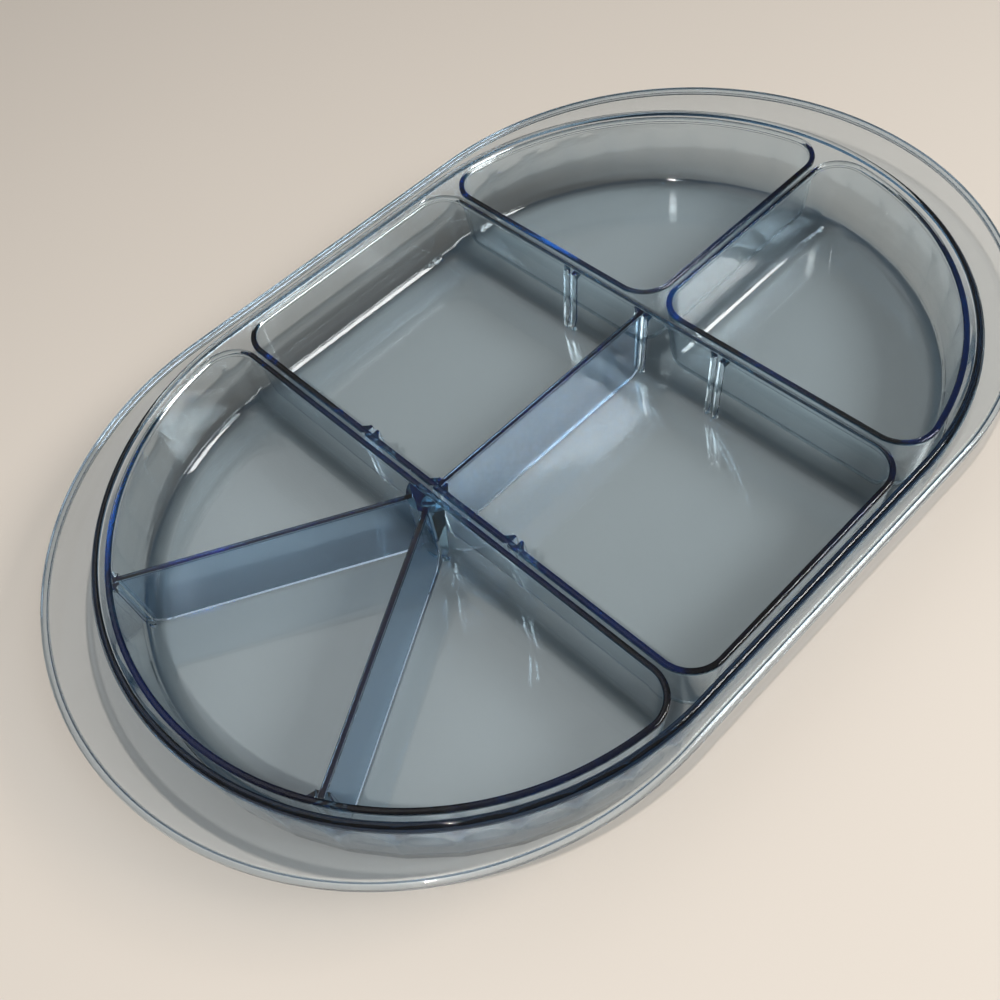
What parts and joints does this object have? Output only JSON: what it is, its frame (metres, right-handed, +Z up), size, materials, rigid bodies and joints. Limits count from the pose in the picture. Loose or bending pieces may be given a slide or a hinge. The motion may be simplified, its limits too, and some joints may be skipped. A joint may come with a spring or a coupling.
{
  "type": "chip and dip server",
  "caption": "Oval serving tray in clear tinted plastic with lift-out cups and slide-in dividers for chips, vegetables and dip.",
  "frame": {"origin": "middle of the tray's flat bottom, on the table", "axes": "+X along the tray towards the two quarter-round cups, +Y to its left long side, +Z up"},
  "size_m": [0.406, 0.261, 0.0368],
  "materials": {
    "clear_plastic": "glossy, nearly clear with a faint grey-green tint",
    "blue_plastic": "glossy, clear with a smoky blue tint",
    "violet_plastic": "glossy, clear with a deeper blue-violet tint"
  },
  "bodies": {
    "serving_tray": {"serving_tray": "clear_plastic"},
    "round_end_cup": {"round_end_cup": "blue_plastic"},
    "centre_cup": {"centre_cup": "blue_plastic"},
    "quarter_cup_left": {"quarter_cup_left": "blue_plastic"},
    "quarter_cup_right": {"quarter_cup_right": "blue_plastic"},
    "centre_divider": {"centre_divider": "violet_plastic"},
    "fan_divider_left": {"fan_divider_left": "violet_plastic"},
    "fan_divider_right": {"fan_divider_right": "violet_plastic"}
  },
  "joints": [
    {"name": "round_end_cup_lift", "type": "slide", "parent": "serving_tray", "child": "round_end_cup", "axis": [0, 0, 1], "range_m": [0, 0.045]},
    {"name": "centre_cup_lift", "type": "slide", "parent": "serving_tray", "child": "centre_cup", "axis": [0, 0, 1], "range_m": [0, 0.045]},
    {"name": "quarter_cup_left_lift", "type": "slide", "parent": "serving_tray", "child": "quarter_cup_left", "axis": [0, 0, 1], "range_m": [0, 0.045]},
    {"name": "quarter_cup_right_lift", "type": "slide", "parent": "serving_tray", "child": "quarter_cup_right", "axis": [0, 0, 1], "range_m": [0, 0.045]},
    {"name": "centre_divider_lift", "type": "slide", "parent": "centre_cup", "child": "centre_divider", "axis": [0, 0, 1], "range_m": [0, 0.04]},
    {"name": "fan_divider_left_lift", "type": "slide", "parent": "round_end_cup", "child": "fan_divider_left", "axis": [0, 0, 1], "range_m": [0, 0.04]},
    {"name": "fan_divider_right_lift", "type": "slide", "parent": "round_end_cup", "child": "fan_divider_right", "axis": [0, 0, 1], "range_m": [0, 0.04]}
  ]
}
